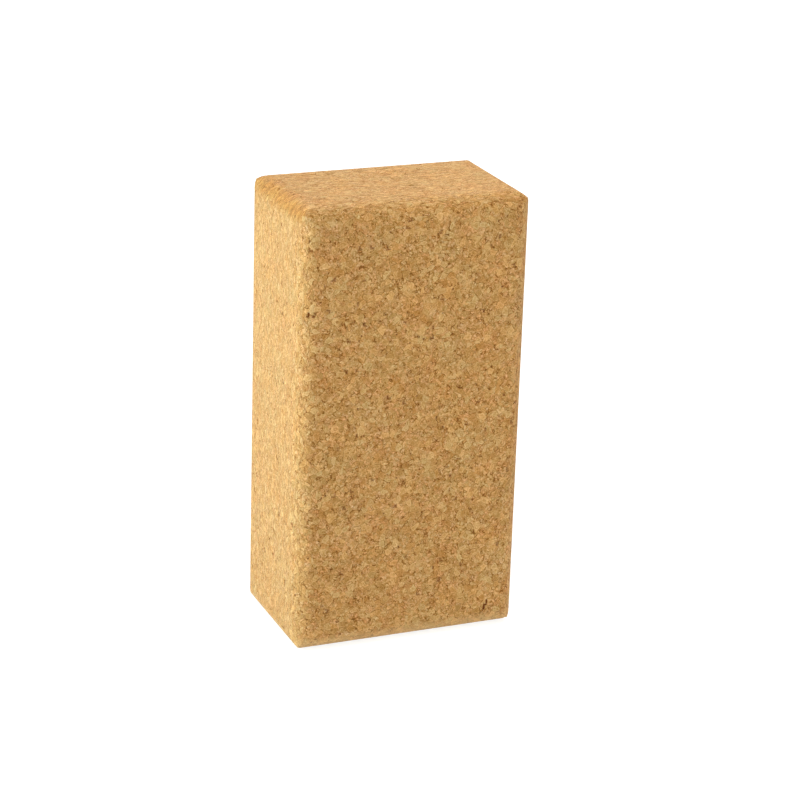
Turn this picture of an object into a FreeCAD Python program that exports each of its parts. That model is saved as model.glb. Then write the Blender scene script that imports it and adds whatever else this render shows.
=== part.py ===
import FreeCAD, Part
import Sketcher
import math
import os

# A cork yoga block, standing on its short end.
# It is one piece: granules of cork and a binder, pressed together, sawn to size and rounded along the edges.
# X runs across the width, Y through the thickness with the front at the minus side, Z up the height.
# The origin is the middle of the end that it stands on. Sizes are in millimetres.

SIZES = {
    "block_height": 228,
    "block_width": 120,
    "block_thickness": 74,
    "upright_edge_radius": 9,
    "wide_end_edge_radius": 9,
    "narrow_end_edge_radius": 9,
}

doc = FreeCAD.newDocument("yoga_block")

sizes = doc.addObject("Spreadsheet::Sheet", "sizes")
for row, (size_name, value) in enumerate(SIZES.items(), start=1):
    sizes.set(f"A{row}", size_name)
    sizes.set(f"B{row}", str(value))
    sizes.setAlias(f"B{row}", size_name)
doc.recompute()


def start_of(edge):
    """The first point of a line or an arc, as a sketch counts them."""
    return edge, 1


def end_of(edge):
    return edge, 2


def sketch_axis(direction):
    """The number by which a sketch knows one of its own axes."""
    return {"level": -1, "upright": -2}[direction]


def new_sketch(body, plane_role, name):
    """An empty sketch on one of the body's own origin planes."""
    plane = next(feature for feature in body.Origin.OriginFeatures if feature.Role == plane_role)
    sketch = body.newObject("Sketcher::SketchObject", name)
    sketch.AttachmentSupport = (plane, [""])
    sketch.MapMode = "FlatFace"
    return sketch


def add_lines(sketch, corners):
    """Straight sides between the pairs of points in corners. Gives back their numbers in the sketch."""
    lines = []
    for (x1, y1), (x2, y2) in corners:
        line = Part.LineSegment(FreeCAD.Vector(x1, y1, 0), FreeCAD.Vector(x2, y2, 0))
        lines.append(sketch.addGeometry(line, False))
    return lines


def constrain(sketch, kind, *places):
    return sketch.addConstraint(Sketcher.Constraint(kind, *places))


def bind(sketch, kind, places, start_value, name, formula):
    """A dimension in the sketch, named and tied to the sheet by a formula."""
    number = constrain(sketch, kind, *places, start_value)
    sketch.renameConstraint(number, name)
    sketch.setExpression(f"Constraints.{name}", formula)


def rounded_outline(sketch, across, along, radius, centred):
    """A rectangle with rounded corners, across by along.
    It is centred on the sketch's upright axis, and centred on the level axis too or standing on it."""
    width, height, r = SIZES[across], SIZES[along], SIZES[radius]
    left, right = -width / 2, width / 2
    low = -height / 2 if centred else 0
    high = low + height
    bottom, side_right, top, side_left = add_lines(sketch, [
        ((left + r, low), (right - r, low)),
        ((right, low + r), (right, high - r)),
        ((right - r, high), (left + r, high)),
        ((left, high - r), (left, low + r)),
    ])
    quarter_turn = math.pi / 2
    corner_middles = [(right - r, low + r), (right - r, high - r), (left + r, high - r), (left + r, low + r)]
    arcs = []
    for turn, (x, y) in enumerate(corner_middles):
        circle = Part.Circle(FreeCAD.Vector(x, y, 0), FreeCAD.Vector(0, 0, 1), r)
        arc = Part.ArcOfCircle(circle, (turn - 1) * quarter_turn, turn * quarter_turn)
        arcs.append(sketch.addGeometry(arc, False))

    lines = [bottom, side_right, top, side_left]
    for line, arc, next_line in zip(lines, arcs, lines[1:] + lines[:1]):
        constrain(sketch, "Tangent", *end_of(line), *start_of(arc))
        constrain(sketch, "Tangent", *end_of(arc), *start_of(next_line))
    for arc in arcs[1:]:
        constrain(sketch, "Equal", arcs[0], arc)
    constrain(sketch, "Symmetric", *start_of(bottom), *end_of(bottom), sketch_axis("upright"))
    constrain(sketch, "Horizontal", top)
    constrain(sketch, "Vertical", side_right)
    if centred:
        constrain(sketch, "Symmetric", *start_of(side_left), *end_of(side_left), sketch_axis("level"))
    else:
        constrain(sketch, "Vertical", side_left)
        constrain(sketch, "PointOnObject", *start_of(bottom), sketch_axis("level"))
    bind(sketch, "Radius", [arcs[0]], r, "corner_radius", f"sizes.{radius}")
    bind(sketch, "DistanceX", [*end_of(side_left), *start_of(side_right)], width, "across", f"sizes.{across}")
    bind(sketch, "DistanceY", [*end_of(bottom), *start_of(top)], height, "along", f"sizes.{along}")


def waste_frame(sketch, across, along):
    """A square-cornered frame well clear of the block: what lies between it and the outline is cut away."""
    width, height = SIZES[across], SIZES[along]
    low, high = -height / 2, height * 3 / 2
    bottom, side_right, top, side_left = add_lines(sketch, [
        ((-width, low), (width, low)),
        ((width, low), (width, high)),
        ((width, high), (-width, high)),
        ((-width, high), (-width, low)),
    ])
    lines = [bottom, side_right, top, side_left]
    for line, next_line in zip(lines, lines[1:] + lines[:1]):
        constrain(sketch, "Coincident", *end_of(line), *start_of(next_line))
    constrain(sketch, "Symmetric", *start_of(bottom), *end_of(bottom), sketch_axis("upright"))
    constrain(sketch, "Horizontal", top)
    constrain(sketch, "Vertical", side_right)
    constrain(sketch, "Vertical", side_left)
    whole_bottom = [*start_of(bottom), *end_of(bottom)]
    whole_side = [*start_of(side_right), *end_of(side_right)]
    below_block = [*start_of(bottom), *start_of(sketch_axis("level"))]
    bind(sketch, "DistanceX", whole_bottom, 2 * width, "frame_across", f"2 * sizes.{across}")
    bind(sketch, "DistanceY", whole_side, 2 * height, "frame_along", f"2 * sizes.{along}")
    bind(sketch, "DistanceY", below_block, height / 2, "frame_below", f"sizes.{along} / 2")


def round_ends(body, plane_role, name, across, radius):
    """A straight pass along each of four end edges, square to the plane and right through the block."""
    sketch = new_sketch(body, plane_role, f"{name}_outline")
    rounded_outline(sketch, across, "block_height", radius, centred=False)
    waste_frame(sketch, across, "block_height")
    before = body.Shape.Volume
    cut = body.newObject("PartDesign::Pocket", name)
    cut.Profile = sketch
    cut.Type = "ThroughAll"
    cut.SideType = "Symmetric"
    doc.recompute()
    if body.Shape.Volume >= before:
        raise ValueError(f"{name} cut nothing")


# The block: its plan outline carries the four upright edges, raised to the block's height.
cork_block = doc.addObject("PartDesign::Body", "cork_block")
cork_block.Label = "cork_block"
cork_block.Placement = FreeCAD.Placement()

plan = new_sketch(cork_block, "XY_Plane", "plan_outline")
rounded_outline(plan, "block_width", "block_thickness", "upright_edge_radius", centred=True)
raised = cork_block.newObject("PartDesign::Pad", "raised_block")
raised.Profile = plan
raised.setExpression("Length", "sizes.block_height")
doc.recompute()

# The end edges are rounded one way and then the other, so the passes meet in a slight point at each corner.
round_ends(cork_block, "XZ_Plane", "round_narrow_end_edges", "block_width", "narrow_end_edge_radius")
round_ends(cork_block, "YZ_Plane", "round_wide_end_edges", "block_thickness", "wide_end_edge_radius")

for item in doc.Objects:
    if "Invalid" in item.State or "Error" in item.State:
        raise ValueError(f"{item.Label} did not build")

if cork_block.Shape.isNull() or not cork_block.Shape.isValid():
    raise ValueError(f"{cork_block.Label} has no sound shape")

os.makedirs("parts", exist_ok=True)
cork_block.Shape.exportStep(f"parts/{cork_block.Label}.step")
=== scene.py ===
import math
import random

import bmesh
import bpy
from mathutils import Matrix, Vector, noise


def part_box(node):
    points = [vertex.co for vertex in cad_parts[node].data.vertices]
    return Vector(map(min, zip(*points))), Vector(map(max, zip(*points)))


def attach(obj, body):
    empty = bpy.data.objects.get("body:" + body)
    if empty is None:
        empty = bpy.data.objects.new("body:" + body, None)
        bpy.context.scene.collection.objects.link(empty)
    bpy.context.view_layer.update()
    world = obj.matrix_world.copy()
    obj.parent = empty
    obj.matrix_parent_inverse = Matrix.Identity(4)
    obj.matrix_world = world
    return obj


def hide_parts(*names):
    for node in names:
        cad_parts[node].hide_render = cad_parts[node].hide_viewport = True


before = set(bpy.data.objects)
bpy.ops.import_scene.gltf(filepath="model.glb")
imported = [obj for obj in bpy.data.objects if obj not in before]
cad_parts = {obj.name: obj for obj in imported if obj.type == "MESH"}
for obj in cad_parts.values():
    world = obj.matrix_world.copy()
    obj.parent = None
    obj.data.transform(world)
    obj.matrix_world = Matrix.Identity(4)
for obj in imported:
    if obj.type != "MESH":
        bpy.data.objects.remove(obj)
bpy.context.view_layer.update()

# The cork block
# The whole object is one block of cork granules pressed together with a binder, flattened a little from
# front to back by the press. It is sawn to size, rounded along every edge in straight passes and sanded,
# which leaves pores open where granules tore out.
EDGE_RADIUS = 0.009
SURFACE_PITCH = 0.0012
PITCH_JITTER = 0.00034
ALONG_AXIS = 0.9
CHANCE_SEED = 7

low, high = (Vector(corner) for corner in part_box("cork_block"))
middle = (low + high) / 2
inner_half = (high - low) / 2 - Vector((EDGE_RADIUS,) * 3)
chance = random.Random(CHANCE_SEED)

block = bmesh.new()
bmesh.ops.create_cube(block, size=1.0)
bmesh.ops.scale(block, vec=high - low, verts=block.verts)
bmesh.ops.translate(block, vec=middle, verts=block.verts)
for axis in range(3):
    running_along = [
        edge for edge in block.edges
        if abs(edge.verts[1].co[axis] - edge.verts[0].co[axis]) > ALONG_AXIS * edge.calc_length()
    ]
    strips = round((high - low)[axis] / SURFACE_PITCH)
    bmesh.ops.subdivide_edges(block, edges=running_along, cuts=strips - 1, use_grid_fill=True)

# The net of the surface is shaken a little in its own plane, so that no pore follows straight rows.
for point in block.verts:
    for axis in range(3):
        if low[axis] + SURFACE_PITCH / 2 < point.co[axis] < high[axis] - SURFACE_PITCH / 2:
            point.co[axis] += chance.uniform(-PITCH_JITTER, PITCH_JITTER)


# Each edge is rounded on its own, so at a corner the three roundings meet in a slight point.
def round_off(place):
    inner = Vector(max(-h, min(h, c)) for c, h in zip(place - middle, inner_half))
    out = place - middle - inner
    reach = max(math.hypot(out.x, out.y), math.hypot(out.y, out.z), math.hypot(out.x, out.z))
    return middle + inner + out * (EDGE_RADIUS / reach)


# Painted shade darkens and deepens the colour of the edges that run from front to back at the top, the left
# one most, standing in for less light and sheen there, and of the end faces in patches. A painted sheen pales
# the edges of the foot, standing in for the white floor's reflection, and faintly the upright ones on the
# left.
LEFT_EDGE_SHADE, RIGHT_EDGE_SHADE, END_DEEPENING = 1.0, 0.35, 0.60
END_DEEPENING_FALLOFF = 4
END_PATCH, END_PATCH_CUT = 0.010, 0.05
LONG_FOOT_SHEEN, SHORT_FOOT_SHEEN, UPRIGHT_SHEEN = 1.0, 0.35, 0.12
UPRIGHT_SHEEN_SPREAD = 1.2


def round_the_edge(first, second):
    """1 halfway round an edge, falling to 0 where the rounding runs out on either face."""
    return 2 * first * second


# This layer holds painted shade along the top edges, and patches of deeper colour on the end faces.
edge_shade_layer = block.verts.layers.float.new("shade_and_deepening")
# This layer holds a painted sheen: pale colour on the foot edges and the left upright edges.
painted_sheen_layer = block.verts.layers.float.new("painted_sheen")
for point in block.verts:
    point.co = round_off(point.co)
    out_x, out_y, out_z = (max(0.0, abs(c) - h) / EDGE_RADIUS for c, h in zip(point.co - middle, inner_half))
    on_left = point.co.x < middle.x
    at_foot = point.co.z < middle.z
    edge_shade = LEFT_EDGE_SHADE if on_left else RIGHT_EDGE_SHADE
    if at_foot or out_y > min(out_x, out_z):
        edge_shade = 0.0
    patch = max(0.0, noise.noise(point.co / END_PATCH) - END_PATCH_CUT)
    end_deepening = out_z**END_DEEPENING_FALLOFF * END_DEEPENING * patch
    point[edge_shade_layer] = max(round_the_edge(out_x, out_z) * edge_shade, end_deepening)
    if at_foot:
        point[painted_sheen_layer] = max(
            LONG_FOOT_SHEEN * round_the_edge(out_y, out_z),
            SHORT_FOOT_SHEEN * round_the_edge(out_x, out_z),
        )
    if on_left and out_z <= min(out_x, out_y):
        upright = min(1.0, UPRIGHT_SHEEN_SPREAD * round_the_edge(out_x, out_y))
        point[painted_sheen_layer] = max(point[painted_sheen_layer], UPRIGHT_SHEEN * upright)
block.normal_update()

# Granules stand a hair above or below their neighbours, always under the sawn face.
GRANULE_SIZE = 0.0034
PRESSED_FLAT = 3.2
GRANULE_RELIEF = 0.00006
HEIGHT_PART, SEAM_PART = 0.55, 0.45
SEAM_REACH = 0.25
HEIGHT_SCATTER = 7.31
SANDING_WAVE = 0.00005
SANDING_WAVELENGTH = 0.011


def granule_depth(place):
    pressed = Vector((place.x, place.y * PRESSED_FLAT, place.z)) / GRANULE_SIZE
    distances, centres = noise.voronoi(pressed)
    own_height = 0.5 + 0.5 * noise.cell(centres[0] * HEIGHT_SCATTER)
    seam = max(0.0, 1.0 - (distances[1] - distances[0]) / SEAM_REACH)
    wave = 0.5 + 0.5 * noise.noise(place / SANDING_WAVELENGTH)
    return GRANULE_RELIEF * (HEIGHT_PART * own_height + SEAM_PART * seam) + SANDING_WAVE * wave


depths = [(point, point.normal.copy(), granule_depth(point.co)) for point in block.verts]
for point, outward, depth in depths:
    point.co -= outward * max(0.0, depth)

# Pores: single faces of the net, and two or three together where a granule tore out, are drawn in and sunk.
# A tear over narrow faces gets a thinner wall, so that it never folds over itself.
PORES_PER_SQUARE_METRE = 6500
TEARS_PER_SQUARE_METRE = 2000
PORE_KINDS = (
    # edge drawn in, depth, darkness
    (0.00022, 0.00016, 0.40),
    (0.00030, 0.00022, 0.55),
    (0.00036, 0.00022, 0.55),
    (0.00032, 0.00030, 0.60),
    (0.00040, 0.00036, 0.82),
)
STRAIGHT_TEARS = 0.4
FACES_IN_BENT_TEAR = 3
TEAR_EDGE, TEAR_DEPTH, TEAR_DARKNESS = 0.00036, 0.00032, 0.65
SLIM_SIDE, SLIM_EDGE = 0.00090, 0.00020
SMALLEST_SIDE = 0.00095
pore_layer = block.verts.layers.float.new("pore")
block.faces.ensure_lookup_table()
area = sum(face.calc_area() for face in block.faces)


def shortest_side(face):
    return min(edge.calc_length() for edge in face.edges)


def faces_around(faces):
    return {near for face in faces for point in face.verts for near in point.link_faces}


def pick_faces(count, taken):
    picked = []
    while len(picked) < count:
        face = block.faces[chance.randrange(len(block.faces))]
        near = {face, *(other for edge in face.edges for other in edge.link_faces)}
        if shortest_side(face) > SMALLEST_SIDE and not near & taken:
            picked.append(face)
            taken |= near
    return picked


def darken(faces, darkness):
    for face in faces:
        for point in face.verts:
            point[pore_layer] = darkness


# Splinters of bark, dark and a little sunk: foot and top of each, as metres from the middle of the foot.
BARK_SPLINTERS = (
    ((0.0425, -0.0370, 0.0100), (0.0442, -0.0370, 0.0150)),
    ((-0.0556, -0.0358, 0.1755), (-0.0550, -0.0360, 0.1770)),
    ((-0.0210, 0.0370, 0.0640), (-0.0190, 0.0370, 0.0672)),
    ((0.0600, 0.0060, 0.1490), (0.0600, 0.0064, 0.1526)),
)
BARK_HALF_WIDTH = 0.0007
BARK_EDGE, BARK_DEPTH, BARK_DARKNESS = 0.00027, 0.00045, 1.0
bark_faces = []
for foot, top in BARK_SPLINTERS:
    foot, top = Vector(foot), Vector(top)
    for face in block.faces:
        centre = face.calc_center_median()
        along = max(0.0, min(1.0, (centre - foot).dot(top - foot) / (top - foot).length_squared))
        if (centre - foot.lerp(top, along)).length < BARK_HALF_WIDTH:
            bark_faces.append(face)
taken = faces_around(bark_faces)

wide_tears, slim_tears = {}, {}
for face in pick_faces(round(area * TEARS_PER_SQUARE_METRE), taken):
    straight = list(face.edges[chance.randrange(len(face.edges))].link_faces)
    around_corner = list(face.verts[chance.randrange(len(face.verts))].link_faces)
    bent = around_corner[chance.randrange(2):][:FACES_IN_BENT_TEAR]
    tear = straight if chance.random() < STRAIGHT_TEARS else bent
    is_slim = min(shortest_side(near) for near in tear) < SLIM_SIDE
    (slim_tears if is_slim else wide_tears).update(dict.fromkeys(tear))
slim_tears = [face for face in slim_tears if face not in wide_tears]
wide_tears = list(wide_tears)
taken |= faces_around(wide_tears + slim_tears)
single_pores = pick_faces(round(area * PORES_PER_SQUARE_METRE), taken)

for kind, (drawn_in, depth, darkness) in enumerate(PORE_KINDS):
    faces = single_pores[kind::len(PORE_KINDS)]
    bmesh.ops.inset_individual(block, faces=faces, thickness=drawn_in, depth=-depth, use_even_offset=True)
    darken(faces, darkness)
for faces, drawn_in, depth, darkness in (
    (wide_tears, TEAR_EDGE, TEAR_DEPTH, TEAR_DARKNESS),
    (slim_tears, SLIM_EDGE, TEAR_DEPTH, TEAR_DARKNESS),
    (bark_faces, BARK_EDGE, BARK_DEPTH, BARK_DARKNESS),
):
    bmesh.ops.inset_region(
        block, faces=faces, thickness=drawn_in, depth=-depth, use_boundary=True, use_even_offset=True,
    )
    darken(faces, darkness)

# The skin is shaded smooth, and the broken walls of the pores are not.
for face in block.faces:
    face.smooth = not any(point[pore_layer] > 0 for point in face.verts)
block_mesh = bpy.data.meshes.new("cork_block_surface")
block.to_mesh(block_mesh)
block.free()
cork_block = bpy.data.objects.new("cork_block_surface", block_mesh)
bpy.context.collection.objects.link(cork_block)


def bare_tree(owner):
    """The empty node tree of a material or of the world."""
    owner.use_nodes = True
    owner.node_tree.nodes.clear()
    return owner.node_tree


def put(tree, kind, inputs=(), **settings):
    """A node with its settings. An input that is a node's output is linked, and a plain value is set."""
    node = tree.nodes.new(kind)
    for name, value in settings.items():
        setattr(node, name, value)
    for name, value in dict(inputs).items():
        if isinstance(value, bpy.types.NodeSocket):
            tree.links.new(value, node.inputs[name])
        else:
            node.inputs[name].default_value = value
    return node


def calculate(tree, operation, *values):
    """The result of a sum on masks and values."""
    return put(tree, "ShaderNodeMath", dict(enumerate(values)), operation=operation).outputs[0]


def add_share(tree, total, value, share):
    return calculate(tree, "MULTIPLY_ADD", value, share, total)


def about_middle(tree, value):
    """A value between 0 and 1, moved so that its middle is 0."""
    return calculate(tree, "SUBTRACT", value, 0.5)


def step(tree, value, low_end, high_end):
    """A mask that rises softly from 0 to 1 between two values."""
    return put(tree, "ShaderNodeMapRange", {"Value": value, "From Min": low_end, "From Max": high_end},
               interpolation_type="SMOOTHSTEP").outputs[0]


def mixed(tree, factor, first, second, blend="MIX"):
    """Two colours mixed, or multiplied. Sockets 6 and 7 are the node's own two colours."""
    return put(tree, "ShaderNodeMix", {"Factor": factor, 6: first, 7: second},
               data_type="RGBA", blend_type=blend).outputs[2]


def linear(red, green, blue):
    """A colour as a shader wants it, from the 0 to 255 that a screen shows."""
    return tuple(((c / 255 + 0.055) / 1.055) ** 2.4 for c in (red, green, blue)) + (1.0,)


# One size of granule: its own shade and tint, how rare it is, and how far it is to the seam around it.
granules = bpy.data.node_groups.new("cork granules", "ShaderNodeTree")
granules.interface.new_socket("Place", in_out="INPUT", socket_type="NodeSocketVector")
granules.interface.new_socket("Granules per Metre", in_out="INPUT", socket_type="NodeSocketFloat")
for output in ("Shade", "Tint", "Rarity", "Seam"):
    granules.interface.new_socket(output, in_out="OUTPUT", socket_type="NodeSocketFloat")
given = put(granules, "NodeGroupInput")
cells = put(granules, "ShaderNodeTexVoronoi", {
    "Vector": given.outputs["Place"], "Scale": given.outputs["Granules per Metre"],
}, feature="F1")
seams = put(granules, "ShaderNodeTexVoronoi", {
    "Vector": given.outputs["Place"], "Scale": given.outputs["Granules per Metre"],
}, feature="DISTANCE_TO_EDGE")
own = put(granules, "ShaderNodeSeparateColor", {"Color": cells.outputs["Color"]})
put(granules, "NodeGroupOutput", {
    "Shade": own.outputs[0], "Tint": own.outputs[1], "Rarity": own.outputs[2],
    "Seam": calculate(granules, "DIVIDE", seams.outputs["Distance"], given.outputs["Granules per Metre"]),
})

# Granules lie in wavy layers, flattened from front to back, and their outlines are ragged.
WAVE_HEIGHT = 0.0040
RAGGED_SHIFT = 0.0008
cork = bpy.data.materials.new("pressed cork")
tree = bare_tree(cork)
place = put(tree, "ShaderNodeTexCoord").outputs["Object"]
wave = put(tree, "ShaderNodeTexNoise", {"Vector": place, "Scale": 190.0, "Detail": 1.0})
wave = calculate(tree, "MULTIPLY", about_middle(tree, wave.outputs["Fac"]), WAVE_HEIGHT)
wave = put(tree, "ShaderNodeCombineXYZ", {"Y": wave}).outputs[0]
waved = put(tree, "ShaderNodeVectorMath", {0: place, 1: wave}, operation="ADD").outputs[0]
pressed = put(tree, "ShaderNodeMapping", {"Vector": waved, "Scale": (1.0, PRESSED_FLAT, 1.0)}).outputs[0]
ragged = put(tree, "ShaderNodeTexNoise", {"Vector": pressed, "Scale": 620.0, "Detail": 3.0, "Roughness": 0.6})
shift = put(tree, "ShaderNodeVectorMath", {
    0: ragged.outputs["Color"], 1: (0.5, 0.5, 0.5),
}, operation="SUBTRACT")
shift = put(tree, "ShaderNodeVectorMath", {0: shift.outputs[0], "Scale": RAGGED_SHIFT}, operation="SCALE")
torn = put(tree, "ShaderNodeVectorMath", {0: pressed, 1: shift.outputs[0]}, operation="ADD").outputs[0]


def granule_layer(size):
    """All that the granules of one size give."""
    layer = put(tree, "ShaderNodeGroup", node_tree=granules)
    tree.links.new(torn, layer.inputs["Place"])
    layer.inputs["Granules per Metre"].default_value = 1 / size
    return layer.outputs


def choose(mask, chosen, otherwise):
    """One value inside a mask and another outside it. Sockets 2 and 3 are the node's own two values."""
    return put(tree, "ShaderNodeMix", {"Factor": mask, 2: otherwise, 3: chosen}).outputs[0]


# Some granules are whole. Between them lie broken ones, and crumbs fill what is left.
BROKEN_SIZE, CRUMB_SIZE, GRIT_SIZE = 0.0019, 0.0011, 0.0006
WHOLE_ABOVE, BROKEN_ABOVE, FLECK_ABOVE = 0.62, 0.30, 0.95
whole = granule_layer(GRANULE_SIZE)
broken = granule_layer(BROKEN_SIZE)
crumbs = granule_layer(CRUMB_SIZE)
grit = granule_layer(GRIT_SIZE)
is_whole = calculate(tree, "GREATER_THAN", whole["Rarity"], WHOLE_ABOVE)
is_broken = calculate(tree, "GREATER_THAN", broken["Rarity"], BROKEN_ABOVE)
shade = choose(is_whole, whole["Shade"], choose(is_broken, broken["Shade"], crumbs["Shade"]))
tint = choose(is_whole, whole["Tint"], choose(is_broken, broken["Tint"], whole["Shade"]))
second_tint = choose(is_whole, whole["Rarity"], whole["Tint"])
chip_height = choose(is_whole, broken["Shade"], choose(is_broken, crumbs["Tint"], whole["Shade"]))
chip_seam = choose(is_whole, whole["Seam"], calculate(tree, "MINIMUM", whole["Seam"], broken["Seam"]))
crumb_seam = calculate(tree, "MINIMUM", chip_seam, crumbs["Seam"])
seam = choose(calculate(tree, "MAXIMUM", is_whole, is_broken), chip_seam, crumb_seam)

speckle = put(tree, "ShaderNodeTexNoise", {
    "Vector": pressed, "Scale": 1600.0, "Detail": 1.0, "Roughness": 0.7,
}).outputs["Fac"]
patchy = put(tree, "ShaderNodeTexNoise", {"Vector": pressed, "Scale": 420.0, "Detail": 2.0})
mottle = put(tree, "ShaderNodeTexNoise", {"Vector": pressed, "Scale": 100.0, "Detail": 2.0})
drift = put(tree, "ShaderNodeTexNoise", {"Vector": place, "Scale": 75.0, "Detail": 2.0})

# Tone, from 0 for the darkest cork to 1 for the palest. Seams lie open in patches, with a painted highlight
# as a pale rim beside.
MIDDLE_TONE = 0.518
SHADE_SHARE, CRUMB_SHARE, GRIT_SHARE, SPECKLE_SHARE, RIM_HIGHLIGHT_SHARE = 0.24, 0.09, 0.22, 0.24, 0.14
SEAM_SHARE, FLECK_SHARE, MOTTLE_SHARE = 0.40, 0.12, 0.16
SEAM_WIDTH = 0.00022
SEAM_SHUT, SEAM_OPEN = 0.50, 0.62
RIM_BEGINS, RIM_FULL, RIM_FADES, RIM_ENDS = 0.00020, 0.00034, 0.00040, 0.00070
open_patch = step(tree, patchy.outputs["Fac"], SEAM_SHUT, SEAM_OPEN)
open_seam = calculate(tree, "MULTIPLY", step(tree, chip_seam, SEAM_WIDTH, 0.0), open_patch)
rim_inside = step(tree, chip_seam, RIM_ENDS, RIM_FADES)
rim_highlight = calculate(tree, "MULTIPLY", step(tree, chip_seam, RIM_BEGINS, RIM_FULL), rim_inside)
fleck = calculate(tree, "GREATER_THAN", crumbs["Rarity"], FLECK_ABOVE)
tone = add_share(tree, MIDDLE_TONE, about_middle(tree, shade), SHADE_SHARE)
tone = add_share(tree, tone, about_middle(tree, crumbs["Shade"]), CRUMB_SHARE)
tone = add_share(tree, tone, about_middle(tree, grit["Shade"]), GRIT_SHARE)
tone = add_share(tree, tone, about_middle(tree, speckle), SPECKLE_SHARE)
# Painted highlight: a pale rim along the chip seams.
tone = add_share(tree, tone, rim_highlight, RIM_HIGHLIGHT_SHARE)
tone = add_share(tree, tone, open_seam, -SEAM_SHARE)
tone = add_share(tree, tone, about_middle(tree, mottle.outputs["Fac"]), MOTTLE_SHARE)
tone = add_share(tree, tone, fleck, -FLECK_SHARE)

DARKEST, PALEST = linear(108, 60, 4), linear(243, 218, 163)
SHADES_BETWEEN = ((0.25, (153, 104, 35)), (0.50, (194, 147, 79)), (0.75, (222, 183, 118)))
shades = put(tree, "ShaderNodeValToRGB", {"Fac": tone})
stops = shades.color_ramp.elements
stops[0].color, stops[1].color = DARKEST, PALEST
for position, colour in SHADES_BETWEEN:
    stop = stops.new(position)
    stop.color = linear(*colour)

# Each granule leans a little to orange or to grey, and to pink or to olive.
DRIFT_SHARE, LEAN_SHARE = 1.6, 0.78
ORANGE, GREY = (1.06, 0.98, 0.90, 1.0), (0.94, 1.02, 1.10, 1.0)
PINK, OLIVE = (1.01, 0.975, 1.035, 1.0), (0.99, 1.02, 0.965, 1.0)


def between(first, second, value):
    ramp = put(tree, "ShaderNodeValToRGB", {"Fac": value})
    ramp.color_ramp.elements[0].color, ramp.color_ramp.elements[1].color = first, second
    return ramp.outputs["Color"]


lean = add_share(tree, tint, about_middle(tree, drift.outputs["Fac"]), DRIFT_SHARE)
lean = add_share(tree, 0.5, about_middle(tree, lean), LEAN_SHARE)
leaning = mixed(tree, 1.0, between(ORANGE, GREY, lean), between(PINK, OLIVE, second_tint), "MULTIPLY")
tinted = mixed(tree, 1.0, shades.outputs["Color"], leaning, "MULTIPLY")

# Painted shade deepens the colour along the top edges and of the end faces in patches, a painted sheen pales
# the foot and left upright edges, and pores show the dark cork inside, deepened by painted shade, with frayed
# edges.
# Painted shade: this colour darkens and deepens the top edges and the end-face patches under the mask.
DEEPENED_TINT = (0.95, 0.80, 0.47, 1.0)
# Painted sheen: this pale colour stands in for the white floor's reflection on the foot and the grazing sheen
# on the left.
SHEEN_COLOUR, SHEEN_COVER = linear(246, 220, 158), 0.28
# Pores show the dark cork inside, with painted shade making the deeper ones darker; bark splinters take this
# dark colour as their own.
PORE_AND_BARK_DARK, PORE_AND_BARK_COVER = linear(118, 62, 0), 0.97
FRAY = 0.8
PORE_BEGINS, PORE_FULL = 0.25, 1.0
shade_and_deepening = put(tree, "ShaderNodeAttribute", attribute_name="shade_and_deepening").outputs["Fac"]
shade_deepened = mixed(tree, shade_and_deepening, tinted, DEEPENED_TINT, "MULTIPLY")
painted_sheen = put(tree, "ShaderNodeAttribute", attribute_name="painted_sheen").outputs["Fac"]
sheened = mixed(tree, calculate(tree, "MULTIPLY", painted_sheen, SHEEN_COVER), shade_deepened, SHEEN_COLOUR)
pore = put(tree, "ShaderNodeAttribute", attribute_name="pore").outputs["Fac"]
frayed = step(tree, add_share(tree, pore, about_middle(tree, speckle), FRAY), PORE_BEGINS, PORE_FULL)
pored = mixed(tree, calculate(tree, "MULTIPLY", frayed, PORE_AND_BARK_COVER), sheened, PORE_AND_BARK_DARK)

# Pale granules are sanded smoother than dark ones, and the seams and chips can just be felt.
DARK_ROUGHNESS, PALE_ROUGHNESS = 0.95, 0.58
SEAM_SLOPE, SEAM_RELIEF, CHIP_RELIEF = 0.0004, 0.6, 0.4
rough = put(tree, "ShaderNodeMapRange", {"Value": tone, "To Min": DARK_ROUGHNESS, "To Max": PALE_ROUGHNESS})
rough = calculate(tree, "MAXIMUM", rough.outputs[0], pore)
relief = add_share(tree, speckle, step(tree, seam, 0.0, SEAM_SLOPE), SEAM_RELIEF)
relief = add_share(tree, relief, chip_height, CHIP_RELIEF)
bump = put(tree, "ShaderNodeBump", {"Height": relief, "Strength": 0.7, "Distance": 0.0003})
skin = put(tree, "ShaderNodeBsdfPrincipled", {
    "Base Color": pored, "Roughness": rough, "Normal": bump.outputs[0], "Specular IOR Level": 0.2,
    "Sheen Weight": 0.08, "Sheen Roughness": 0.6, "Sheen Tint": (1.0, 0.97, 0.92, 1.0),
})
put(tree, "ShaderNodeOutputMaterial", {"Surface": skin.outputs[0]})

block_mesh.materials.append(cork)
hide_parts("cork_block")
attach(cork_block, "root")

# The floor
# A plain white sweep, white to the eye, that keeps only a faint soft shadow around the foot of the block.
# Its surface also glows a little, unseen by the eye, and this glow, though the floor is no lamp, throws light
# back up onto the block's lower edges.
FLOOR_SIZE = 12.0
FLOOR_WHITE = (0.92, 0.92, 0.92, 1.0)
FLOOR_GLOW_LIGHT = 0.21
SHADOW_GREY = (0.3, 0.3, 0.3, 1.0)
GLOW_WHITE = (1.0, 1.012, 0.99, 1.0)
NEAR, FAR = 0.25, 0.9
NEAR_GLOW, FAR_GLOW = 0.87, 1.0


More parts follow.
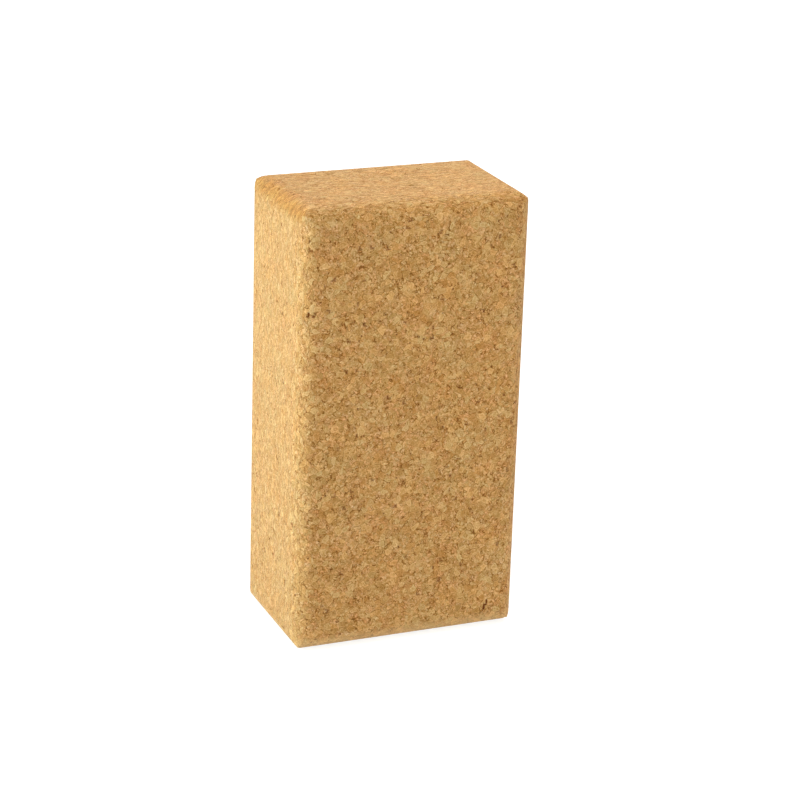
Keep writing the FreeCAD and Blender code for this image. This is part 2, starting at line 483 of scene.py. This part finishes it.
def seen_directly(tree):
    """A mask that is 1 to the eye and in reflections, and 0 for light on its way to the block."""
    ray = put(tree, "ShaderNodeLightPath").outputs
    seen = calculate(tree, "MAXIMUM", ray["Is Camera Ray"], ray["Is Glossy Ray"])
    return calculate(tree, "MAXIMUM", seen, ray["Is Transmission Ray"])


bpy.ops.mesh.primitive_plane_add(size=FLOOR_SIZE)
floor = bpy.context.object
floor.name = "floor"
white = bpy.data.materials.new("white sweep")
tree = bare_tree(white)
bounce = put(tree, "ShaderNodeBsdfDiffuse", {"Color": FLOOR_WHITE})
# The floor glows for light on its way to the block, though it is no lamp.
floor_glow_light = put(tree, "ShaderNodeEmission", {"Color": (1.0, 1.0, 1.0, 1.0), "Strength": FLOOR_GLOW_LIGHT})
thrown = put(tree, "ShaderNodeAddShader", {0: bounce.outputs[0], 1: floor_glow_light.outputs[0]})
shadow = put(tree, "ShaderNodeBsdfDiffuse", {"Color": SHADOW_GREY})
from_block = put(tree, "ShaderNodeTexCoord").outputs["Object"]
from_block = put(tree, "ShaderNodeVectorMath", {0: from_block}, operation="LENGTH").outputs["Value"]
whiteness = put(tree, "ShaderNodeMapRange", {
    "Value": from_block, "From Min": NEAR, "From Max": FAR, "To Min": NEAR_GLOW, "To Max": FAR_GLOW,
}).outputs[0]
glow = put(tree, "ShaderNodeEmission", {"Color": GLOW_WHITE, "Strength": whiteness})
shown = put(tree, "ShaderNodeAddShader", {0: shadow.outputs[0], 1: glow.outputs[0]})
blend = put(tree, "ShaderNodeMixShader", {0: seen_directly(tree), 1: thrown.outputs[0], 2: shown.outputs[0]})
put(tree, "ShaderNodeOutputMaterial", {"Surface": blend.outputs[0]})
floor.data.materials.append(white)

# The light
# A soft key straight from the left, a touch cooler than the rest, a small panel close overhead and a large
# one behind, in a pale room. The room is white to the eye and in reflections.
ROOM_LIGHT = (0.345, 0.295, 0.285, 1.0)
ROOM_WHITE = (1.0, 1.0, 1.0, 1.0)
KEY_TINT = (0.88, 1.01, 1.18)
FILL_TINT = (1.045, 0.98, 0.965)
BEHIND_TINT = (1.0, 1.0, 1.045)
PANELS = {
    # place, size, power, tint
    "key": ((-1.07, 0.04, 0.38), 0.6, 12.8, KEY_TINT),
    "overhead": ((0.25, -0.25, 0.90), 0.5, 3.76, FILL_TINT),
    "behind": ((0.58, 1.00, 1.49), 1.0, 15.5, BEHIND_TINT),
}
for name, (spot, size, power, tint) in PANELS.items():
    panel = bpy.data.lights.new(name, "AREA")
    panel.size = size
    panel.energy = power
    panel.color = tint
    lamp = bpy.data.objects.new(name, panel)
    lamp.location = spot
    lamp.rotation_euler = (Vector(spot) - middle).to_track_quat("Z", "Y").to_euler()
    bpy.context.collection.objects.link(lamp)

room = bpy.data.worlds.new("pale room")
bpy.context.scene.world = room
tree = bare_tree(room)
sky = put(tree, "ShaderNodeBackground", {"Color": mixed(tree, seen_directly(tree), ROOM_LIGHT, ROOM_WHITE)})
put(tree, "ShaderNodeOutputWorld", {"Surface": sky.outputs[0]})

# The camera
# A long lens a little over a metre away, to the left of the front face and looking down on the top.
AZIMUTH, ELEVATION, ROLL = (math.radians(angle) for angle in (-22.943, 19.924, 1.831))
DISTANCE = 1.2905
LENS_MM, SENSOR_MM = 115.52, 36.0
NEAREST = 0.01
LOOK_AT = Vector((0.00831, 0.0, 0.11434))
back = Vector((
    math.sin(AZIMUTH) * math.cos(ELEVATION),
    -math.cos(AZIMUTH) * math.cos(ELEVATION),
    math.sin(ELEVATION),
))
right = Vector((0, 0, 1)).cross(back).normalized()
up = back.cross(right)
lens = bpy.data.cameras.new("camera")
lens.lens = LENS_MM
lens.sensor_width = SENSOR_MM
lens.clip_start = NEAREST
camera = bpy.data.objects.new("camera", lens)
turned = Matrix((right, up, back)).transposed() @ Matrix.Rotation(ROLL, 3, "Z")
camera.matrix_world = Matrix.Translation(LOOK_AT + back * DISTANCE) @ turned.to_4x4()
bpy.context.collection.objects.link(camera)
bpy.context.scene.camera = camera
bpy.context.scene.view_settings.view_transform = "Standard"
